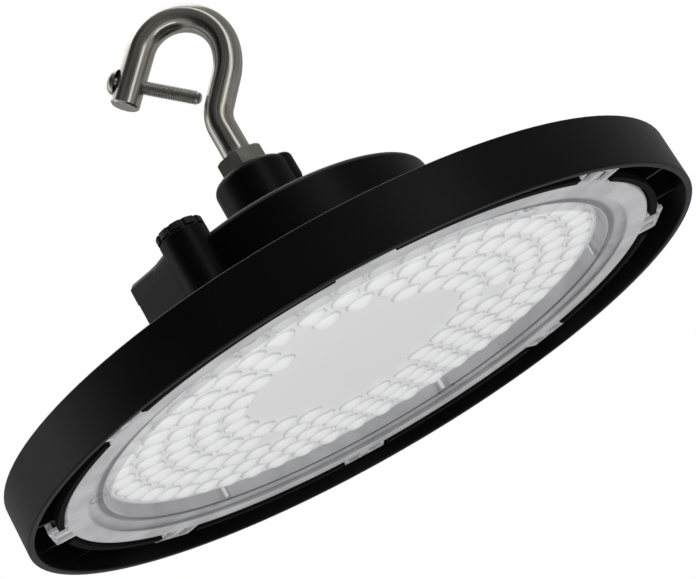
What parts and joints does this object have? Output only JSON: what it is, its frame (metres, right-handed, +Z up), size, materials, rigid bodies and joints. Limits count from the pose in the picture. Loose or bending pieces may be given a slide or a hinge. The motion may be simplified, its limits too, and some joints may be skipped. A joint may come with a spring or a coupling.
{
  "type": "high bay light",
  "caption": "Round LED high bay light with a ribbed rim, a lens plate of small domes, a driver drum and a steel hanging hook with a safety screw.",
  "frame": {"origin": "centre of the rim's lower edge, in the plane that the light rests on", "axes": "+Z up along the hook's shank, the mouth of the hook faces -X, and the hook is bent in the XZ plane"},
  "size_m": [0.285, 0.285, 0.181],
  "materials": {
    "black_coat": "satin black powder coat on cast aluminium",
    "clear_lens": "clear polycarbonate over a white board",
    "silicone": "matt grey silicone",
    "black_rubber": "matt",
    "white_board": "white solder resist on aluminium",
    "led_chip": "yellow phosphor",
    "steel": "plain stainless steel",
    "hook_steel": "brushed stainless steel",
    "nut_steel": "dull stainless steel",
    "brass_screw": "plain",
    "black_plastic": "matt",
    "driver_case": "grey potted case"
  },
  "bodies": {
    "root": {"heatsink_housing": "black_coat", "lens_plate": "clear_lens", "lens_gasket": "silicone", "led_board": "white_board", "leds": "led_chip", "board_screws": "steel", "driver_housing": "black_coat", "housing_gasket": "silicone", "housing_screws": "steel", "sensor_socket": "black_plastic", "sensor_cap": "black_plastic", "sensor_cap_oring": "silicone", "hook": "hook_steel", "lock_nut": "nut_steel", "set_screw": "steel", "safety_screw": "steel", "gland_body": "black_plastic", "gland_seal": "black_rubber", "gland_nut": "black_plastic", "breather_plug": "black_plastic", "driver": "driver_case", "driver_screws": "steel", "earth_screw": "brass_screw", "wire_grommet": "black_rubber"}
  },
  "joints": []
}
